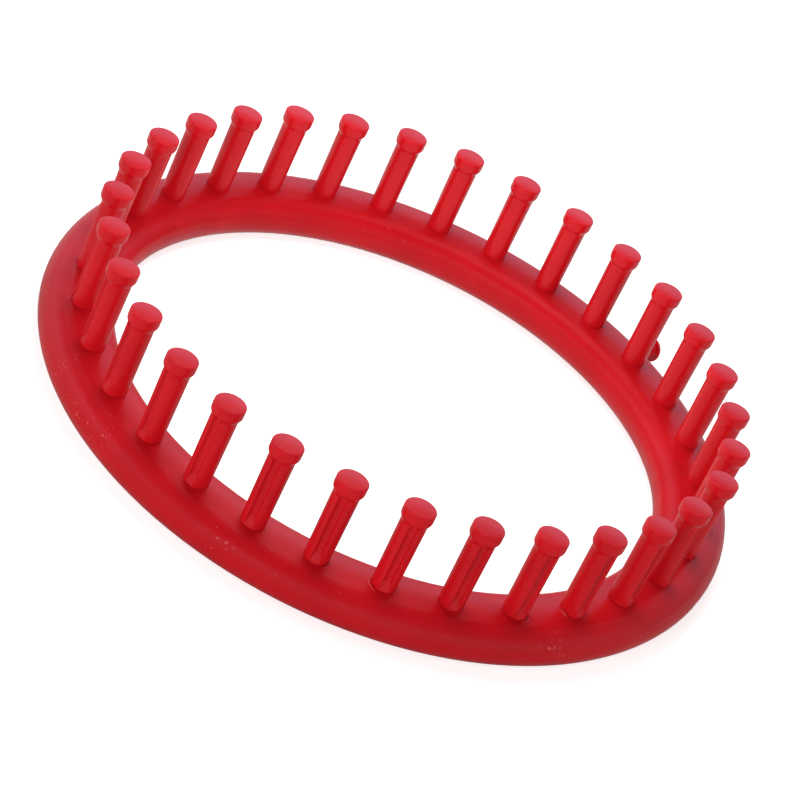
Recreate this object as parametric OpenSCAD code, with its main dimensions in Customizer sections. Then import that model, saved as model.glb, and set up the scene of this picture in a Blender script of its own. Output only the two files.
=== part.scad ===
// Round knitting loom: a moulded hoop with pressed-in upright pegs and one anchor peg on its side.
// The loom rests on the XY plane, and its axis is Z.

/* [Ring] */
// Diameter over the outside of the ring
ring_outer_d = 190; // [160:1:260]
// Width of the ring's oval section
ring_w = 19.7; // [18:0.1:24]
// Radius of the section's inner and outer shoulders, above its widest level
shoulder_r = 5.8; // [5:0.1:7]
// Rise of the gently domed top above the shoulders
crown_rise = 0.4; // [0.2:0.1:1.5]
// Radius of the section's sides, below its widest level
lower_r = 6.3; // [5.2:0.1:7]
// Height that the flat lands take off the rounded underside
land_cut = 0.5; // [0.2:0.1:0.8]
// Width of each of the two flat lands that the loom rests on
land_w = 1; // [0.6:0.1:2]
// Thickness of the roof over the channel in the underside, at the crown
roof_t = 2.6; // [1.8:0.1:4]

/* [Peg sockets] */
// Wall of the boss round each socket
boss_wall = 2.2; // [1.5:0.1:3]
// Height of the bosses' lower faces above the base
boss_lift = 1.5; // [0.5:0.1:3]
// Thickness of the floor that a peg's foot seats on
floor_t = 1.2; // [0.8:0.1:2.5]
// Diameter of the vent through that floor
vent_d = 3; // [1.5:0.1:4.5]
// Radial clearance of a pressed-in shank
press_gap = 0.03; // [0.01:0.01:0.1]

/* [Upright pegs] */
// Number of upright pegs
peg_count = 31; // [24:1:36]
// Height of the pegs above the ring's crown
peg_h = 24.1; // [18:0.1:40]
// Shaft diameter at the ring and inside the socket
foot_d = 6.5; // [5.5:0.1:7.5]
// Shaft diameter just under the head
neck_d = 6.8; // [6:0.1:7.1]
// Chamfer at the shank's lower end
lead_in = 0.6; // [0.2:0.1:1]
// Diameter of the head
head_d = 8.2; // [7.6:0.1:10]
// Height of the head's straight side, with the rounded top edge
head_side_h = 2.4; // [1.5:0.1:4]
// Radius of the head's top edge
head_edge_r = 0.5; // [0.2:0.1:1]
// Radius of the head's rounded underside
head_under_r = 1.8; // [1:0.1:2.5]
// Width of the hook groove in the outer face
groove_w = 2.4; // [1.6:0.1:3.2]
// Depth of the hook groove below the shaft's surface
groove_d = 1; // [0.8:0.1:2]
// Drop from the top of the head to the rounded end of the groove
groove_drop = 4.1; // [3.8:0.1:8]

/* [Anchor peg] */
// Direction of the anchor peg, midway between two upright pegs
anchor_angle = 45; // [0:1:359]
// Drop of the anchor's axis below the ring's widest level
anchor_drop = 0.5; // [0:0.1:1]
// Diameter of the anchor's stem
anchor_stem_d = 4.6; // [3:0.1:6]
// Free length of the stem between the ring and the head
anchor_reach = 9.4; // [4:0.1:14]
// Diameter of the anchor's head
anchor_head_d = 7.4; // [6.2:0.1:9]
// Height of the head's straight rim
anchor_rim_h = 0.8; // [0.4:0.1:2]
// Height of the head's domed end
anchor_dome_h = 1.85; // [0.8:0.05:3]

/* [Hidden] */
$fn = 72;
ring_fn = 180;
moulded_red = [0.76, 0.11, 0.14];

// Margin by which a cutting shape runs past what it cuts
over = 1;

// Ring section, about its widest level
waist_z = lower_r - land_cut;
crown_h = shoulder_r + crown_rise;
ring_top_z = waist_z + crown_h;
ring_mid_r = (ring_outer_d - ring_w) / 2;
shoulder_x = ring_w / 2 - shoulder_r;
lower_x = ring_w / 2 - lower_r;
crown_r = (shoulder_x ^ 2 + crown_h ^ 2 - shoulder_r ^ 2) / (2 * crown_rise);
crown_edge_x = shoulder_x * crown_r / (crown_r - shoulder_r);
land_outer_x = lower_x + sqrt(lower_r ^ 2 - waist_z ^ 2);
channel_x = land_outer_x - land_w;
channel_roof_z = ring_top_z - roof_t;

// Sockets and the pegs that seat in them
socket_r = foot_d / 2 + press_gap;
boss_r = foot_d / 2 + boss_wall;
seat_z = boss_lift + floor_t;
head_z = ring_top_z + peg_h;
head_side_z = head_z - head_side_h;
head_edge_z = head_z - head_edge_r;
groove_r = groove_w / 2;
groove_x = neck_d / 2 - groove_d + groove_r;
groove_end_z = head_z - groove_drop - groove_r;

// Anchor peg: its stem runs from the channel's outer wall to the back of the head
anchor_back = ring_outer_d / 2 + anchor_reach;
anchor_stem_l = anchor_back - ring_mid_r - channel_x;
anchor_dome_r = (anchor_dome_h ^ 2 + (anchor_head_d / 2) ^ 2) / (2 * anchor_dome_h);

function two_digits(i) = str(i < 10 ? "0" : "", i);
function peg_angle(i) = anchor_angle + (i - 0.5) * 360 / peg_count;

PEGS = [for (i = [1 : peg_count]) str("peg_", two_digits(i))];

// Oval section of the solid ring: three arcs above the widest level, two below, and a flat base
module ring_section() {
    intersection() {
        union() {
            for (side = [-1, 1])
                translate([side * shoulder_x, 0])
                    circle(shoulder_r);
            intersection() {
                translate([0, crown_h - crown_r])
                    circle(crown_r);
                translate([-crown_edge_x, 0])
                    square([2 * crown_edge_x, crown_h + over]);
            }
        }
        translate([-ring_w, 0])
            square([2 * ring_w, crown_h + over]);
    }
    intersection() {
        union() {
            for (side = [-1, 1])
                translate([side * lower_x, 0])
                    circle(lower_r);
            translate([-lower_x, -waist_z])
                square([2 * lower_x, waist_z]);
        }
        translate([-ring_w, -waist_z])
            square([2 * ring_w, waist_z]);
    }
}

module ring_blank() {
    rotate_extrude($fn = ring_fn)
        translate([ring_mid_r, waist_z])
            ring_section();
}

// Open channel that cores out the underside
module underside_channel() {
    rotate_extrude($fn = ring_fn)
        translate([ring_mid_r - channel_x, -over])
            square([2 * channel_x, channel_roof_z + over]);
}

// Places its children at one peg's station, with +X pointing away from the ring's centre
module at_peg(i) {
    rotate([0, 0, peg_angle(i)])
        translate([ring_mid_r, 0, 0])
            children();
}

module socket_boss() {
    translate([0, 0, boss_lift])
        cylinder(h = ring_top_z - roof_t / 2 - boss_lift, r = boss_r);
}

module socket_bore() {
    translate([0, 0, seat_z])
        cylinder(h = ring_top_z + over - seat_z, r = socket_r);
    translate([0, 0, boss_lift - over])
        cylinder(h = floor_t + 2 * over, d = vent_d);
}

// Turns its children's Z axis to the anchor's direction, at the anchor's level
module at_anchor() {
    rotate([0, 0, anchor_angle])
        translate([0, 0, waist_z - anchor_drop])
            rotate([0, 90, 0])
                children();
}

module anchor_bore() {
    at_anchor()
        translate([0, 0, ring_mid_r])
            cylinder(h = ring_w, d = anchor_stem_d + 2 * press_gap);
}

module ring() {
    color(moulded_red)
        difference() {
            union() {
                difference() {
                    ring_blank();
                    underside_channel();
                }
                intersection() {
                    ring_blank();
                    union()
                        for (i = [1 : peg_count])
                            at_peg(i)
                                socket_boss();
                }
            }
            for (i = [1 : peg_count])
                at_peg(i)
                    socket_bore();
            anchor_bore();
        }
}

// Half profile of a peg: chamfered shank, slightly tapered shaft and round head
module peg_profile() {
    polygon([
        [0, seat_z],
        [foot_d / 2 - lead_in, seat_z],
        [foot_d / 2, seat_z + lead_in],
        [foot_d / 2, ring_top_z],
        [neck_d / 2, head_side_z],
        [0, head_side_z]
    ]);
    translate([0, head_side_z])
        square([head_d / 2, head_side_h - head_edge_r]);
    translate([0, head_side_z])
        square([head_d / 2 - head_edge_r, head_side_h]);
    translate([head_d / 2 - head_edge_r, head_edge_z])
        circle(head_edge_r);
    translate([head_d / 2 - head_under_r, head_side_z])
        circle(head_under_r);
}

// Round-bottomed groove down the outer face, with a rounded upper end
module hook_groove() {
    translate([groove_x, 0, 0]) {
        linear_extrude(groove_end_z) {
            circle(groove_r);
            translate([0, -groove_r])
                square([head_d, groove_w]);
        }
        translate([0, 0, groove_end_z]) {
            sphere(groove_r);
            rotate([0, 90, 0])
                cylinder(h = head_d, r = groove_r);
        }
    }
}

module peg(i) {
    color(moulded_red)
        at_peg(i)
            difference() {
                rotate_extrude()
                    peg_profile();
                hook_groove();
            }
}

// Half profile of the anchor along its axis, from the back of its head: stem, rim and domed end
module anchor_profile() {
    translate([0, -anchor_stem_l])
        square([anchor_stem_d / 2, anchor_stem_l + anchor_rim_h]);
    square([anchor_head_d / 2, anchor_rim_h]);
    translate([0, anchor_rim_h])
        intersection() {
            translate([0, anchor_dome_h - anchor_dome_r])
                circle(anchor_dome_r);
            square([anchor_head_d, anchor_dome_h + over]);
        }
}

module anchor_peg() {
    color(moulded_red)
        at_anchor()
            translate([0, 0, anchor_back])
                rotate_extrude()
                    anchor_profile();
}

ring();
for (i = [1 : peg_count])
    peg(i);
anchor_peg();
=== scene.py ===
"""Round knitting loom: the looks of its ring, its pressed-in pegs and its anchor peg."""

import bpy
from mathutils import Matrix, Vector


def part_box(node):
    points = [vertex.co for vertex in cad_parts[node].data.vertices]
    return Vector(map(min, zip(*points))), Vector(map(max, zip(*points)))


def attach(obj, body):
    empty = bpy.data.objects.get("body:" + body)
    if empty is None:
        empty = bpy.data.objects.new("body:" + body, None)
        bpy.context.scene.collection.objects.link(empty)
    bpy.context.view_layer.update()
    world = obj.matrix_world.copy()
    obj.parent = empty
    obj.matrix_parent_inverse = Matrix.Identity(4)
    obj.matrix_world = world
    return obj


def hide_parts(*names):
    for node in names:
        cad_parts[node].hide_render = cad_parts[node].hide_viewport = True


bl_info = {
    "name": "Round knitting loom",
    "version": (1, 0, 0),
    "blender": (4, 5, 0),
    "location": "View3D > Sidebar > Loom",
    "description": "Dresses a packed round knitting loom as moulded plastic and sets up its studio",
    "category": "Object",
}

import math

import bpy
import numpy as np
from bpy.props import FloatProperty, FloatVectorProperty, PointerProperty, StringProperty
from mathutils import Matrix, Vector

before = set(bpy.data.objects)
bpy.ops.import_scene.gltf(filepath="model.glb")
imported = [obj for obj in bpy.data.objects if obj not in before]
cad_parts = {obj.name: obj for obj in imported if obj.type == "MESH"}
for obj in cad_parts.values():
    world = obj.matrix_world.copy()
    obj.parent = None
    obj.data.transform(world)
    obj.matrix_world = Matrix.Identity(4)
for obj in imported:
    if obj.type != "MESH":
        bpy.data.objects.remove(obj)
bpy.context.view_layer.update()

MM = 0.001
PEG_NODES = sorted(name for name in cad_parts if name.startswith("peg_"))
RING_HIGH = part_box("ring")[1]
PEG_LOW, PEG_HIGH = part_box(PEG_NODES[0])
ANCHOR_LOW, ANCHOR_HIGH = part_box("anchor_peg")

# Half the width of the ring's section
RING_HALF_W = 9.85 * MM

# Painted glints on the ring's outer side, pale specks where its widest line catches the light: direction in
# degrees, level and reach in millimetres
GLINT_PLACES = ((205, 7, 9), (213, 7, 8), (221, 7, 9), (247, 9, 7),
          (300, 8, 6), (302, 4, 6), (318, 4, 9), (327, 3, 8))
# Their middles lie this far inside the ring's widest line
GLINT_INSET = 0.5 * MM

# Fins of flash at the sockets: peg number, direction about the peg from outward and spread, both in degrees
FLASH = ((1, 120, 40), (1, -88, 36), (13, -35, 80), (19, 62, 40),
         (20, -55, 50), (22, 51, 50), (23, -75, 40))
# Section of a fin between its two roots: place across its half thickness and share of its height
FIN_SECTION = ((-0.7, 0), (-0.35, 0.6), (0.1, 1), (0.5, 0.75), (0.75, 0.2))
# Sections along a fin, and how its height falls to the ends: a low power keeps it high for longer
FIN_STEPS = 28
FIN_END_POWER = 0.6
# Tear of a fin: its usual share of the full height, how far that varies, and raggedness from step to step
FIN_TORN = 0.75
FIN_TORN_VARIES = 0.25
FIN_RAGGED = 0.35
# Least height of a fin, its greatest share of the full height, and its sideways wander from step to step
FIN_LEAST = 0.05 * MM
FIN_MOST = 1.2
FIN_WANDER = 0.02 * MM

# Columns of a peg's mesh, in degrees from outward: close together at the groove's lips
LIP_COLUMNS = (0, 4, 8, 11, 13.5, 15.5, 17, 18.2, 19.2, 20, 20.8, 21.6, 22.5, 23.5, 24.7, 26.2, 28.5)
BACK_COLUMNS = np.linspace(32, 180, 32)
# Rows of a head's rounded top edge, in millimetres below its top, and rings of its top as shares of that
EDGE_ROWS = (0.5, 0.42, 0.34, 0.27, 0.2, 0.14, 0.09, 0.05, 0.02, 0.005, 0.0)
TOP_RINGS = (0.86, 0.62, 0.34)
# Halvings that find a peg's surface along a ray
HALVINGS = 40

# Seeds of the small chances in how the pegs stand and how the flash tore
PEG_SEED = 31
FLASH_SEED = 7

# Finishes: index of refraction, then smoothest and roughest. Polypropylene is near 1.49,
# and its satin skin mirrors less
RING_FINISH = (1.32, (0.27, 0.34))
PEG_FINISH = (1.41, (0.23, 0.3))
FLASH_FINISH = (1.49, (0.2, 0.3))
# Tint of the highlights, a little cool as in the photograph
HIGHLIGHT_TINT = (0.86, 0.92, 1.0, 1.0)

# Sizes of the plastic's patterns: flow of pigment, spacing of knocks, waves of the cooled skin and polish
FLOW_SIZE = 16 * MM
KNOCK_SIZE = 0.9 * MM
WAVE_SIZE = 6 * MM
POLISH_SIZE = 0.5 * MM
# Span of the flow's noise that goes from one pigment, and one gloss, to the other
FLOW_SPAN = (0.15, 0.85)
# Knocks, and the painted glints that share their specks: span of their noise from sound to pale, share of the
# pale colour there, and added roughness
KNOCK_AND_GLINT_SPAN = (0.74, 0.8)
KNOCK_AND_GLINT_PALE = 0.75
KNOCK_ROUGH = 0.3
# A painted glint is strongest in this share of its reach, and lifts the knocks' noise by this much, so that
# pale specks crowd there
GLINT_CORE = 0.3
GLINT_LIFT = 0.1
# Heights of the waves and pits in the skin, and of its polish
WAVE_H = 0.06 * MM
PIT_H = 0.06 * MM
POLISH_H = 0.004 * MM

# Soft lamps: name, kind, place in metres, width in metres and power in watts
LAMPS = (("key_softbox", "AREA", (-0.544, -0.942, 0.507), 0.5, 4.0),
         ("top_softbox", "AREA", (-0.03, 0.1, 0.3), 0.25, 0.7),
         ("inner_globe", "POINT", (-0.01, -0.01, 0.055), 0.06, 0.055),
         ("left_globe", "POINT", (-0.3, -0.1, 0.2), 0.08, 0.42),
         ("right_globe", "POINT", (0.3, -0.1, 0.2), 0.08, 0.4))

# Walls in reflections: where the white ones stand, the turn from dark to white, and the dark side's share
WALL_SIDE = (-0.5, 0.87, 0.0)
WALL_TURN = (-0.1, 0.55)
WALL_DARK = 0.25
# Heights of a direction over which the walls grow from dim to white, then give way to the ceiling
WALL_RISE = (0.05, 0.45)
WALL_FOOT = 0.4
CEILING_EDGE = (0.48, 0.62)
# Height of a direction above which the walls give no more light
FILL_TOP = 0.67

# Floor: its glow to the camera, and its shade in reflections from the front to behind the loom
FLOOR_GLOW = 0.66
FLOOR_DEPTH = (-0.13, 0.12)
FLOOR_SHADE = (0.08, 0.78)
WHITE = (1, 1, 1, 1)
# Width of the camera's sensor in millimetres
SENSOR_W = 36


def length(name, description, default):
    """One size in metres, shown in the panel in the scene's unit."""
    return FloatProperty(name=name, description=description, default=default, min=0.0, precision=5,
                         subtype="DISTANCE", unit="LENGTH")


def colour(name, description, default):
    """One colour, written as an sRGB hex value."""
    return StringProperty(name=name, description=description, default=default)


class LoomPegSizes(bpy.types.PropertyGroup):
    """Sizes of an upright peg"""
    circle_r: length("Peg circle", "Radius of the circle that the pegs stand on", RING_HIGH.x - RING_HALF_W)
    seat_z: length("Seat", "Level of the socket floor under a peg's foot", PEG_LOW.z)
    ring_top_z: length("Ring top", "Level of the ring's crown", RING_HIGH.z)
    head_z: length("Head top", "Level of the top of the heads", PEG_HIGH.z)
    foot_d: length("Foot", "Shaft diameter at the ring", 6.5 * MM)
    neck_d: length("Neck", "Shaft diameter just under the head", 6.9 * MM)
    neck_drop: length("Neck drop", "Drop from the head's top to the end of the shaft's taper", 2.4 * MM)
    lead_in: length("Lead-in", "Chamfer at the lower end of the shank", 0.6 * MM)
    head_d: length("Head", "Diameter of the head", 8.2 * MM)
    head_h: length("Head height", "Height of the head with its rounded underside", 4.0 * MM)
    head_edge_r: length("Head edge", "Radius of the head's top edge", 0.4 * MM)
    head_under_r: length("Head underside", "Radius of the head's underside", 1.7 * MM)
    neck_fillet_r: length("Neck fillet", "Fillet between the shaft and the head", 0.5 * MM)
    groove_w: length("Groove width", "Width of the hook groove at its floor", 1.5 * MM)
    groove_d: length("Groove depth", "Depth of the hook groove below the shaft", 1.35 * MM)
    groove_drop: length("Groove drop", "Drop from the head's top to the groove's rounded end", 3.3 * MM)
    groove_r: length("Groove corners", "Rounding between the groove's floor and walls", 0.5 * MM)
    groove_flare: FloatProperty(name="Groove flare", description="Lean of the groove's walls", subtype="ANGLE",
                                default=math.radians(25), unit="ROTATION")
    groove_run: FloatProperty(name="Groove run-out", description="Lean of the ramp that ends the groove below",
                              subtype="ANGLE", default=math.radians(72), unit="ROTATION")
    groove_sunk: length("Groove foot", "Depth below the crown at which the groove has run out", 0.5 * MM)
    lip_r: length("Lip radius", "Rounding of the groove's lips", 0.25 * MM)
    sink: length("Sink mark", "Depth of the shrinkage dip in the top of a head", 0.1 * MM)
    lean: FloatProperty(name="Lean", description="Usual lean of a peg that was pressed in by hand",
                        subtype="ANGLE", default=math.radians(0.2), unit="ROTATION")
    proud: length("Proud", "Usual difference in how high a peg stands", 0.08 * MM)


class LoomAnchorSizes(bpy.types.PropertyGroup):
    """Sizes of the anchor peg"""
    angle: FloatProperty(name="Direction", description="Direction of the anchor peg about the loom's axis",
                         default=math.radians(45), subtype="ANGLE", unit="ROTATION")
    axis_z: length("Axis level", "Level of the anchor's axis", (ANCHOR_LOW.z + ANCHOR_HIGH.z) / 2)
    inner_r: length("Inner end", "Distance of the stem's inner end from the loom's axis", 90.16 * MM)
    back_r: length("Head back", "Distance of the back of the head from the loom's axis", 104.4 * MM)
    stem_d: length("Stem", "Diameter of the stem", 4.6 * MM)
    head_d: length("Head", "Diameter of the head", 7.4 * MM)
    rim_h: length("Rim", "Height of the head's straight rim", 0.8 * MM)
    dome_h: length("Dome", "Height of the head's domed end", 1.85 * MM)
    edge_r: length("Edges", "Rounding of the head's edges", 0.25 * MM)


class LoomFlashSizes(bpy.types.PropertyGroup):
    """Sizes of a fin of flash"""
    away: length("Distance", "Distance of a fin's middle line from the shaft beside it", 0.75 * MM)
    height: length("Height", "Height of a fin above the ring's crown", 0.7 * MM)
    thickness: length("Thickness", "Thickness of a fin at its foot", 0.6 * MM)
    root: length("Root", "Depth of a fin's root below the crown", 0.25 * MM)
    crown_r: length("Crown radius", "Radius of the ring's gently domed top", 26.5 * MM)


class LoomColours(bpy.types.PropertyGroup):
    """Colours as sRGB hex values"""
    red: colour("Red", "Red of the moulded plastic", "#C2121B")
    deep: colour("Deep red", "Red where the pigment lies thicker", "#B40D16")
    peg_red: colour("Peg red", "Livelier red of the pegs' own batch", "#CE141D")
    peg_deep: colour("Peg deep red", "Red of the pegs where the pigment lies thicker", "#C10F18")
    # Pale red of the knocks, which is also painted as glints along the ring's widest line
    scuff_and_glint: colour("Scuffs", "Paler red where the plastic is rubbed", "#DC5C62")
    flash: colour("Flash", "Red of the thin torn flash", "#D2343B")
    floor: colour("Floor", "White of the studio floor", "#E2E2E2")
    walls: colour("Walls", "Cool white of the studio walls in reflections", "#D9DEFF")


class LoomStage(bpy.types.PropertyGroup):
    """Camera, floor and surroundings"""
    camera_at: FloatVectorProperty(name="Camera", description="Where the camera stands",
                                   default=(-0.129731, -0.704770, 0.457577), subtype="TRANSLATION",
                                   unit="LENGTH")
    aim_at: FloatVectorProperty(name="Aim", description="Point that the camera looks at",
                                default=(0.001004, -0.006892, 0.012), subtype="TRANSLATION", unit="LENGTH")
    roll: FloatProperty(name="Roll", description="Turn of the camera about its line of sight",
                        default=math.radians(25.941), subtype="ANGLE", unit="ROTATION")
    lens: FloatProperty(name="Lens", description="Focal length on a 36 mm sensor, in millimetres",
                        default=147.018, subtype="DISTANCE_CAMERA")
    floor_w: length("Floor width", "Side of the square floor", 8.0)
    fill: FloatProperty(name="Fill", description="Strength of the light from the white walls at floor level",
                        default=2.05)
    walls: FloatProperty(name="Walls", description="Brightness of white walls in reflections", default=1.35)
    ceiling: FloatProperty(name="Ceiling", description="Brightness of the ceiling in reflections", default=0.3)


class LoomSettings(bpy.types.PropertyGroup):
    """All settings of the loom"""
    peg: PointerProperty(type=LoomPegSizes)
    anchor: PointerProperty(type=LoomAnchorSizes)
    flash: PointerProperty(type=LoomFlashSizes)
    colours: PointerProperty(type=LoomColours)
    stage: PointerProperty(type=LoomStage)


def linear(hex_colour):
    """Turns an sRGB hex value to linear RGBA."""
    parts = [int(hex_colour[i:i + 2], 16) / 255 for i in (1, 3, 5)]
    return tuple(c / 12.92 if c <= 0.04045 else ((c + 0.055) / 1.055) ** 2.4 for c in parts) + (1.0,)


def add(tree, kind, inputs=None, **settings):
    """Adds a node with its settings; an input is a value or another node's socket."""
    made = tree.nodes.new(kind)
    for key, value in settings.items():
        setattr(made, key, value)
    for key, value in (inputs or {}).items():
        if isinstance(value, bpy.types.NodeSocket):
            tree.links.new(value, made.inputs[key])
        else:
            made.inputs[key].default_value = value
    return made


def empty_material(name):
    """A new material and its cleared node tree."""
    material = bpy.data.materials.new(name)
    material.use_nodes = True
    material.node_tree.nodes.clear()
    return material, material.node_tree


def moulded_polypropylene(name, red, deep, scuffed_and_glinting, finish, glinting=()):
    """Injection-moulded polypropylene from a satin-polished mould.

    It shows one deep red with a slow flow of lighter and darker pigment, broad soft highlights that the faint
    waves of the cooled skin bend a little, and small pale specks where it was knocked. At the given glint
    places the pale specks crowd together as a painted highlight."""
    ior, (smooth, dull) = finish
    material, tree = empty_material(name)
    where = add(tree, "ShaderNodeTexCoord").outputs["Object"]
    flow = add(tree, "ShaderNodeTexNoise", {"Vector": where, "Scale": 1 / FLOW_SIZE, "Detail": 3.0})
    pigment = add(tree, "ShaderNodeMapRange", {"Value": flow.outputs["Fac"], "From Min": FLOW_SPAN[0],
                                               "From Max": FLOW_SPAN[1]}, interpolation_type="SMOOTHSTEP")
    body = add(tree, "ShaderNodeMix", {"Factor": pigment.outputs[0], "A": linear(red), "B": linear(deep)},
               data_type="RGBA")
    # Knocks are about 0.3 mm across: they are sparse, and at the glint places they crowd together as painted
    # glints
    painted_glint = 0.0
    for place, reach in glinting:
        near = add(tree, "ShaderNodeVectorMath", {0: where, 1: place}, operation="DISTANCE")
        glint = add(tree, "ShaderNodeMapRange", {"Value": near.outputs["Value"], "From Min": GLINT_CORE * reach,
                                                 "From Max": reach, "To Min": GLINT_LIFT, "To Max": 0.0},
                    interpolation_type="SMOOTHSTEP")
        painted_glint = add(tree, "ShaderNodeMath", {0: painted_glint, 1: glint.outputs[0]}, operation="MAXIMUM").outputs[0]
    knocks = add(tree, "ShaderNodeTexNoise", {"Vector": where, "Scale": 1 / KNOCK_SIZE, "Detail": 2.0})
    knocks_and_glints = add(tree, "ShaderNodeMath", {0: knocks.outputs["Fac"], 1: painted_glint}, operation="ADD")
    scuff_and_glint = add(tree, "ShaderNodeMapRange", {"Value": knocks_and_glints.outputs[0], "From Min": KNOCK_AND_GLINT_SPAN[0],
                                             "From Max": KNOCK_AND_GLINT_SPAN[1], "To Min": 0.0, "To Max": KNOCK_AND_GLINT_PALE})
    tone = add(tree, "ShaderNodeMix", {"Factor": scuff_and_glint.outputs[0], "A": body.outputs["Result"],
                                       "B": linear(scuffed_and_glinting)}, data_type="RGBA")
    gloss = add(tree, "ShaderNodeMapRange", {"Value": flow.outputs["Fac"], "From Min": FLOW_SPAN[0],
                                             "From Max": FLOW_SPAN[1], "To Min": smooth, "To Max": dull})
    rough = add(tree, "ShaderNodeMath", {0: scuff_and_glint.outputs[0], 1: KNOCK_ROUGH, 2: gloss.outputs[0]},
                operation="MULTIPLY_ADD")
    # The mould's polish is some 0.05 mm fine; it is drawn at 0.5 mm so that it shows
    waves = add(tree, "ShaderNodeTexNoise", {"Vector": where, "Scale": 1 / WAVE_SIZE, "Detail": 1.0})
    skin = add(tree, "ShaderNodeBump", {"Strength": 1.0, "Distance": WAVE_H, "Height": waves.outputs["Fac"]})
    polish = add(tree, "ShaderNodeTexNoise", {"Vector": where, "Scale": 1 / POLISH_SIZE, "Detail": 2.0})
    satin = add(tree, "ShaderNodeBump", {"Strength": 0.5, "Distance": POLISH_H,
                                         "Height": polish.outputs["Fac"],
                                         "Normal": skin.outputs["Normal"]})
    pits = add(tree, "ShaderNodeBump", {"Strength": 0.6, "Distance": PIT_H, "Height": scuff_and_glint.outputs[0],
                                        "Normal": satin.outputs["Normal"]}, invert=True)
    shader = add(tree, "ShaderNodeBsdfPrincipled",
                 {"Base Color": tone.outputs["Result"], "Roughness": rough.outputs[0], "IOR": ior,
                  "Specular Tint": HIGHLIGHT_TINT, "Normal": pits.outputs["Normal"]})
    add(tree, "ShaderNodeOutputMaterial", {"Surface": shader.outputs["BSDF"]})
    return material


def new_piece(name, points, faces, material):
    """Makes a smooth mesh object in the loom's own frame and lets it ride on the loom."""
    mesh = bpy.data.meshes.new(name)
    mesh.from_pydata([tuple(p) for p in points], [], faces)
    mesh.validate()
    mesh.shade_smooth()
    mesh.materials.append(material)
    piece = bpy.data.objects.new(name, mesh)
    bpy.context.scene.collection.objects.link(piece)
    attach(piece, "root")
    return piece


def grid_faces(rows, columns):
    """Quads of a tube: rows from the bottom up, columns counter-clockwise and closed."""
    return [(r * columns + c, r * columns + (c + 1) % columns,
             (r + 1) * columns + (c + 1) % columns, (r + 1) * columns + c)
            for r in range(rows - 1) for c in range(columns)]


def rounded_meet(a, b, radius):
    """Where two solids overlap, with the edge between them rounded."""
    u, v = np.maximum(a + radius, 0), np.maximum(b + radius, 0)
    return np.minimum(np.maximum(a, b), -radius) + np.hypot(u, v)


def rounded_join(a, b, radius):
    """Two solids as one, with a fillet in the corner between them."""
    u, v = np.maximum(radius - a, 0), np.maximum(radius - b, 0)
    return np.maximum(np.minimum(a, b), radius) - np.hypot(u, v)


def peg_field(peg, x, y, z):
    """Signed distance to a peg about its own axis, with +X pointing away from the loom's centre."""
    r = np.hypot(x, y)
    climb = np.clip((z - peg.ring_top_z) / (peg.head_z - peg.neck_drop - peg.ring_top_z), 0, 1)
    shaft = np.maximum(r - (peg.foot_d + (peg.neck_d - peg.foot_d) * climb) / 2,
                       (r - z + peg.seat_z + peg.lead_in - peg.foot_d / 2) * math.sqrt(0.5))
    shaft = np.maximum(shaft, z - peg.head_z + peg.head_h / 2)
    middle = peg.head_z - peg.head_h / 2
    corner = np.where(z > middle, peg.head_edge_r, peg.head_under_r)
    side, end = r - peg.head_d / 2 + corner, np.abs(z - middle) - peg.head_h / 2 + corner
    head = np.minimum(np.maximum(side, end), 0) + np.hypot(np.maximum(side, 0), np.maximum(end, 0)) - corner
    body = rounded_join(shaft, head, peg.neck_fillet_r)
    floor_x = peg.neck_d / 2 - peg.groove_d
    end_z = peg.head_z - peg.groove_drop - peg.groove_w / 2 - peg.groove_d * math.tan(peg.groove_flare)
    across = np.hypot(y, np.maximum(z - end_z, 0)) - peg.groove_w / 2
    walls = across * math.cos(peg.groove_flare) - (x - floor_x) * math.sin(peg.groove_flare)
    hook = rounded_meet(walls, floor_x - x, peg.groove_r)
    foot_z = peg.ring_top_z - peg.groove_sunk + (peg.foot_d / 2 - x) * math.tan(peg.groove_run)
    hook = np.maximum(hook, (foot_z - z) * math.cos(peg.groove_run))
    return rounded_meet(body, -hook, peg.lip_r)


def peg_form(peg):
    """Points and faces of one peg, by finding its surface along level rays from its axis."""
    half = np.radians(np.concatenate([LIP_COLUMNS, BACK_COLUMNS]))
    turn = np.concatenate([half, -half[-2:0:-1]])
    low, crown, top = peg.seat_z, peg.ring_top_z, peg.head_z
    foot = [low, low + peg.lead_in / 2, low + peg.lead_in, low + peg.lead_in + 0.3 * MM]
    # Spans of rows from the bottom up, with their counts: socket, run-out, shaft, groove's end and head
    spans = ((low + 2 * MM, crown - 0.9 * MM, 5),
             (crown - 0.6 * MM, crown + 3.6 * MM, 18),
             (crown + 4.2 * MM, top - 6.6 * MM, 16),
             (top - 6.3 * MM, top - 3.8 * MM, 34),
             (top - 3.7 * MM, top - 0.62 * MM, 16))
    edge = top - np.array(EDGE_ROWS) * MM
    levels = np.concatenate([foot, *(np.linspace(*span) for span in spans), edge])
    z, angle = np.meshgrid(levels, turn, indexing="ij")
    near, far = np.zeros_like(z), np.full_like(z, peg.head_d)
    for _ in range(HALVINGS):
        mid = (near + far) / 2
        inside = peg_field(peg, mid * np.cos(angle), mid * np.sin(angle), z) < 0
        near, far = np.where(inside, mid, near), np.where(inside, far, mid)
    r = (near + far) / 2
    points = np.stack([r * np.cos(angle), r * np.sin(angle), z], axis=-1)
    rim = points[-1].copy()
    rim[:, 2] = top
    caps = []
    for share in TOP_RINGS:
        ring = rim * (share, share, 1)
        ring[:, 2] -= peg.sink * (1 - share ** 2)
        caps.append(ring)
    rows = np.concatenate([points.reshape(-1, 3), np.concatenate(caps)])
    columns, count = len(turn), len(levels) + len(caps)
    faces = grid_faces(count, columns)
    rows = np.concatenate([rows, [(0, 0, top - peg.sink), (0, 0, low)]])
    tip, sole = len(rows) - 2, len(rows) - 1
    last = (count - 1) * columns
    faces += [(last + c, last + (c + 1) % columns, tip) for c in range(columns)]
    faces += [((c + 1) % columns, c, sole) for c in range(columns)]
    return rows, faces


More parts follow.
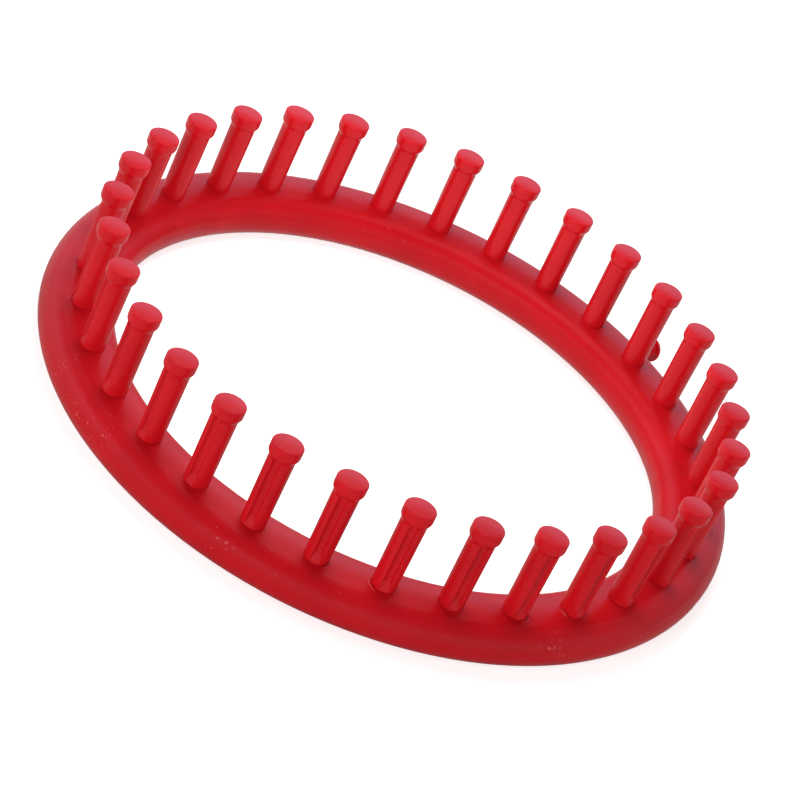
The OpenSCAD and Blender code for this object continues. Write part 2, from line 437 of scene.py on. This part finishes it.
def at_peg(loom, number, points):
    """Places points given about a peg's own axis, with +X pointing away from the loom's centre."""
    turn = loom.anchor.angle + (number - 0.5) * 2 * math.pi / len(PEG_NODES)
    c, s = math.cos(turn), math.sin(turn)
    out = points[:, 0] + loom.peg.circle_r
    return np.stack([c * out - s * points[:, 1], s * out + c * points[:, 1], points[:, 2]], axis=-1)


def flash_form(loom, direction, spread, chance):
    """Points and faces of one torn fin of flash that stands round part of a peg's foot."""
    flash = loom.flash
    along = np.linspace(0, 1, FIN_STEPS)
    torn = FIN_TORN + FIN_TORN_VARIES * np.cumsum(chance.normal(0, FIN_RAGGED, FIN_STEPS))
    rise = np.clip(flash.height * np.sin(math.pi * along) ** FIN_END_POWER * torn,
                   FIN_LEAST, flash.height * FIN_MOST)
    turn = np.radians(direction + spread * (along - 0.5))
    middle = loom.peg.foot_d / 2 + flash.away + np.cumsum(chance.normal(0, FIN_WANDER, FIN_STEPS))
    points = []
    for t, r, top in zip(turn, middle, rise):
        crown = loom.peg.ring_top_z - (r * math.cos(t)) ** 2 / (2 * flash.crown_r)
        section = [(side, share * top) for side, share in FIN_SECTION]
        section = [(-1, -flash.root), *section, (1, -flash.root)]
        for side, level in section:
            reach = r + side * flash.thickness / 2
            points.append((reach * math.cos(t), reach * math.sin(t), crown + level))
    columns = len(section)
    faces = grid_faces(FIN_STEPS, columns)
    faces.append(tuple(range(columns - 1, -1, -1)))
    faces.append(tuple(range((FIN_STEPS - 1) * columns, FIN_STEPS * columns)))
    return np.array(points), faces


def turned_form(outline, columns=64):
    """Points and faces of a turned solid; the outline runs from its lower to its upper axis point."""
    turn = np.linspace(0, 2 * math.pi, columns, endpoint=False)
    body = np.array([[(r * math.cos(t), r * math.sin(t), z) for t in turn] for r, z in outline[1:-1]])
    points = np.concatenate([body.reshape(-1, 3), [(0, 0, outline[0][1]), (0, 0, outline[-1][1])]])
    rows = len(outline) - 2
    faces = grid_faces(rows, columns)
    sole, crown, last = len(points) - 2, len(points) - 1, (rows - 1) * columns
    faces += [((c + 1) % columns, c, sole) for c in range(columns)]
    faces += [(last + c, last + (c + 1) % columns, crown) for c in range(columns)]
    return points, faces


def arc(centre, radius, start, stop, steps):
    """Points of an arc in an outline; angles in degrees."""
    return [(centre[0] + radius * math.cos(math.radians(a)), centre[1] + radius * math.sin(math.radians(a)))
            for a in np.linspace(start, stop, steps)]


def ray_kinds(tree):
    """The flag of rays from the camera, and the flag of reflected and refracted rays."""
    ray = add(tree, "ShaderNodeLightPath").outputs
    bent = add(tree, "ShaderNodeMath", {0: ray["Is Glossy Ray"], 1: ray["Is Transmission Ray"]},
               operation="MAXIMUM")
    return ray["Is Camera Ray"], bent.outputs[0]


def place_camera(scene, stage):
    """Stands the camera where the photograph was taken from."""
    data = bpy.data.cameras.new("photo_camera")
    data.lens = stage.lens
    data.sensor_width = SENSOR_W
    data.clip_start = 0.01
    camera = bpy.data.objects.new("photo_camera", data)
    sight = Vector(stage.aim_at) - Vector(stage.camera_at)
    camera.matrix_world = (Matrix.Translation(stage.camera_at)
                           @ sight.to_track_quat("-Z", "Y").to_matrix().to_4x4()
                           @ Matrix.Rotation(stage.roll, 4, "Z"))
    scene.collection.objects.link(camera)
    scene.camera = camera


def light_surroundings(scene, loom):
    """White background, soft light from white walls, and what reflections show.

    Reflections show white walls behind and left of the loom, dark ones elsewhere, and a dim ceiling."""
    stage = loom.stage
    world = bpy.data.worlds.new("white_surroundings")
    world.use_nodes = True
    tree = world.node_tree
    tree.nodes.clear()
    sky = add(tree, "ShaderNodeTexCoord").outputs["Generated"]
    height = add(tree, "ShaderNodeSeparateXYZ", {"Vector": sky}).outputs["Z"]
    toward = add(tree, "ShaderNodeVectorMath", {0: sky, 1: WALL_SIDE}, operation="DOT_PRODUCT")
    side = add(tree, "ShaderNodeMapRange", {"Value": toward.outputs["Value"], "From Min": WALL_TURN[0],
                                            "From Max": WALL_TURN[1], "To Min": WALL_DARK * stage.walls,
                                            "To Max": stage.walls}, interpolation_type="SMOOTHSTEP")
    low = add(tree, "ShaderNodeMapRange", {"Value": height, "From Min": WALL_RISE[0],
                                           "From Max": WALL_RISE[1], "To Min": WALL_FOOT, "To Max": 1.0},
              interpolation_type="SMOOTHSTEP")
    wall = add(tree, "ShaderNodeMath", {0: side.outputs[0], 1: low.outputs[0]}, operation="MULTIPLY")
    above = add(tree, "ShaderNodeMapRange", {"Value": height, "From Min": CEILING_EDGE[0],
                                             "From Max": CEILING_EDGE[1]}, interpolation_type="SMOOTHSTEP")
    mirrored = add(tree, "ShaderNodeMix", {"Factor": above.outputs[0], "A": wall.outputs[0],
                                           "B": stage.ceiling})
    fill = add(tree, "ShaderNodeMapRange", {"Value": height, "From Min": 0.0, "From Max": FILL_TOP,
                                            "To Min": stage.fill, "To Max": 0.0})
    seen, glossy = ray_kinds(tree)
    unseen = add(tree, "ShaderNodeMix", {"Factor": glossy, "A": fill.outputs[0],
                                         "B": mirrored.outputs[0]})
    level = add(tree, "ShaderNodeMix", {"Factor": seen, "A": unseen.outputs[0], "B": 1.0})
    tint = add(tree, "ShaderNodeMix", {"Factor": glossy, "A": WHITE,
                                       "B": linear(loom.colours.walls)}, data_type="RGBA")
    light = add(tree, "ShaderNodeBackground", {"Color": tint.outputs["Result"], "Strength": level.outputs[0]})
    add(tree, "ShaderNodeOutputWorld", {"Surface": light.outputs[0]})
    world.cycles.sampling_method = "NONE"
    scene.world = world


def hang_lamps(scene):
    """Hangs the soft lamps, all turned to the loom and out of sight of the camera and reflections."""
    for name, kind, place, size, power in LAMPS:
        lamp_data = bpy.data.lights.new(name, kind)
        lamp_data.energy = power
        if kind == "AREA":
            lamp_data.shape = "DISK"
            lamp_data.size = size
        else:
            lamp_data.shadow_soft_size = size / 2
        lamp = bpy.data.objects.new(name, lamp_data)
        aim = -Vector(place)
        lamp.matrix_world = Matrix.Translation(place) @ aim.to_track_quat("-Z", "Y").to_matrix().to_4x4()
        lamp.visible_glossy = False
        lamp.visible_camera = False
        scene.collection.objects.link(lamp)


def lay_floor(scene, loom):
    """Lays a board of matt white paint, which gives the eye a soft shadow and no gloss.

    In reflections it is white behind the loom and greyer in front, towards the unlit room."""
    half = loom.stage.floor_w / 2
    mesh = bpy.data.meshes.new("studio_floor")
    corners = [(-half, -half, 0), (half, -half, 0), (half, half, 0), (-half, half, 0)]
    mesh.from_pydata(corners, [], [(0, 1, 2, 3)])
    floor = bpy.data.objects.new("studio_floor", mesh)
    scene.collection.objects.link(floor)
    material, tree = empty_material("painted_board_matt_white")
    seen, glossy = ray_kinds(tree)
    glow = add(tree, "ShaderNodeMath", {0: seen, 1: FLOOR_GLOW}, operation="MULTIPLY")
    paper = add(tree, "ShaderNodeBsdfPrincipled",
                {"Base Color": linear(loom.colours.floor), "Roughness": 0.9,
                 "Specular IOR Level": 0.0, "Emission Color": WHITE,
                 "Emission Strength": glow.outputs[0]})
    where = add(tree, "ShaderNodeTexCoord").outputs["Object"]
    depth = add(tree, "ShaderNodeSeparateXYZ", {"Vector": where}).outputs["Y"]
    shade = add(tree, "ShaderNodeMapRange", {"Value": depth, "From Min": FLOOR_DEPTH[0],
                                             "From Max": FLOOR_DEPTH[1], "To Min": FLOOR_SHADE[0],
                                             "To Max": FLOOR_SHADE[1]})
    mirrored = add(tree, "ShaderNodeEmission", {"Color": WHITE, "Strength": shade.outputs[0]})
    shader = add(tree, "ShaderNodeMixShader", {0: glossy, 1: paper.outputs[0], 2: mirrored.outputs[0]})
    add(tree, "ShaderNodeOutputMaterial", {"Surface": shader.outputs[0]})
    mesh.materials.append(material)


class LOOM_OT_stage(bpy.types.Operator):
    """Set the camera, the pale floor and the soft studio light"""
    bl_idname = "loom.stage"
    bl_label = "Studio stage"

    def execute(self, context):
        scene = context.scene
        scene.view_settings.view_transform = "Standard"
        place_camera(scene, scene.loom.stage)
        light_surroundings(scene, scene.loom)
        hang_lamps(scene)
        lay_floor(scene, scene.loom)
        return {"FINISHED"}


class LOOM_OT_ring(bpy.types.Operator):
    """Give the ring its moulded plastic"""
    bl_idname = "loom.ring"
    bl_label = "Ring"

    def execute(self, context):
        # Places along the ring's widest line where the knocks' pale specks crowd together as painted glints
        glinting = []
        for angle, level, reach in GLINT_PLACES:
            turn = math.radians(angle)
            out = RING_HIGH.x - GLINT_INSET
            glinting.append(((out * math.cos(turn), out * math.sin(turn), level * MM), reach * MM))
        colours = context.scene.loom.colours
        material = moulded_polypropylene("polypropylene_moulded_satin_ring", colours.red, colours.deep,
                                         colours.scuff_and_glint, RING_FINISH, glinting)
        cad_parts["ring"].material_slots[0].material = material
        return {"FINISHED"}


class LOOM_OT_pegs(bpy.types.Operator):
    """Stand the grooved pegs in the ring's sockets"""
    bl_idname = "loom.pegs"
    bl_label = "Upright pegs"

    def execute(self, context):
        loom = context.scene.loom
        material = moulded_polypropylene("polypropylene_moulded_satin_peg", loom.colours.peg_red,
                                         loom.colours.peg_deep, loom.colours.scuff_and_glint, PEG_FINISH)
        points, faces = peg_form(loom.peg)
        climb = np.maximum(points[:, 2] - loom.peg.ring_top_z, 0)
        # Pegs are pressed in by hand: each leans and stands a little differently
        chance = np.random.default_rng(PEG_SEED)
        for number, node in enumerate(PEG_NODES, 1):
            lean = chance.normal(0, loom.peg.lean, 2)
            proud = chance.normal(0, loom.peg.proud) / (loom.peg.head_z - loom.peg.ring_top_z)
            stood = points + np.stack([climb * lean[0], climb * lean[1], climb * proud], axis=-1)
            piece = new_piece("pressed_" + node, at_peg(loom, number, stood), faces, material)
            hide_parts(node)
        return {"FINISHED"}


class LOOM_OT_anchor(bpy.types.Operator):
    """Turn the anchor peg on the ring's outer side"""
    bl_idname = "loom.anchor"
    bl_label = "Anchor peg"

    def execute(self, context):
        loom = context.scene.loom
        anchor = loom.anchor
        stem, head, edge = anchor.stem_d / 2, anchor.head_d / 2, anchor.edge_r
        dome_r = (anchor.dome_h ** 2 + head ** 2) / (2 * anchor.dome_h)
        top = anchor.back_r + anchor.rim_h
        spread = math.degrees(math.asin((head - edge) / dome_r))
        # Outline from the stem's inner end to the top of the dome; each arc ends with its count of points
        outline = [(0, anchor.inner_r), (stem - edge, anchor.inner_r)]
        outline += arc((stem - edge, anchor.inner_r + edge), edge, -90, 0, 5)
        outline += [(stem, z) for z in np.linspace(anchor.inner_r + 2 * edge, anchor.back_r - 3 * edge, 6)]
        outline += arc((stem + 2 * edge, anchor.back_r - 2 * edge), 2 * edge, 180, 90, 7)
        outline += arc((head - edge, anchor.back_r + edge), edge, -90, 0, 6)
        outline += arc((head - edge, top - edge), edge, 0, 90 - spread, 5)
        outline += arc((0, top + anchor.dome_h - dome_r), dome_r, 90 - spread, 90, 14)[1:]
        outline[-1] = (0, outline[-1][1])
        points, faces = turned_form(outline)
        c, s = math.cos(anchor.angle), math.sin(anchor.angle)
        placed = np.stack([c * points[:, 2] + s * points[:, 0], s * points[:, 2] - c * points[:, 0],
                           anchor.axis_z + points[:, 1]], axis=-1)
        material = bpy.data.materials["polypropylene_moulded_satin_peg"]
        piece = new_piece("pressed_anchor_peg", placed, faces, material)
        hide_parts("anchor_peg")
        return {"FINISHED"}


class LOOM_OT_flash(bpy.types.Operator):
    """Leave the torn fins of flash that some pegs raised as they were pressed in"""
    bl_idname = "loom.flash"
    bl_label = "Socket flash"

    def execute(self, context):
        loom = context.scene.loom
        material = moulded_polypropylene("polypropylene_torn_flash", loom.colours.flash, loom.colours.red,
                                         loom.colours.scuff_and_glint, FLASH_FINISH)
        chance = np.random.default_rng(FLASH_SEED)
        for fin, (number, direction, spread) in enumerate(FLASH, 1):
            points, faces = flash_form(loom, direction, spread, chance)
            piece = new_piece(f"socket_flash_{fin:02d}", at_peg(loom, number, points), faces, material)
        return {"FINISHED"}


OPERATORS = (LOOM_OT_stage, LOOM_OT_ring, LOOM_OT_pegs, LOOM_OT_anchor, LOOM_OT_flash)


class LOOM_PT_panel(bpy.types.Panel):
    bl_idname = "LOOM_PT_panel"
    bl_label = "Round knitting loom"
    bl_space_type = "VIEW_3D"
    bl_region_type = "UI"
    bl_category = "Loom"

    def draw(self, context):
        for operator in OPERATORS:
            self.layout.operator(operator.bl_idname)
        loom = context.scene.loom
        for group in (loom.peg, loom.anchor, loom.flash, loom.colours, loom.stage):
            box = self.layout.box()
            for name in group.__annotations__:
                box.prop(group, name)


CLASSES = (LoomPegSizes, LoomAnchorSizes, LoomFlashSizes, LoomColours, LoomStage, LoomSettings,
           *OPERATORS, LOOM_PT_panel)


def register():
    for cls in CLASSES:
        bpy.utils.register_class(cls)
    bpy.types.Scene.loom = PointerProperty(type=LoomSettings)


def unregister():
    del bpy.types.Scene.loom
    for cls in reversed(CLASSES):
        bpy.utils.unregister_class(cls)


def main():
    register()
    bpy.ops.loom.stage()
    bpy.ops.loom.ring()
    bpy.ops.loom.pegs()
    bpy.ops.loom.anchor()
    bpy.ops.loom.flash()


if __name__ == "__main__":
    main()
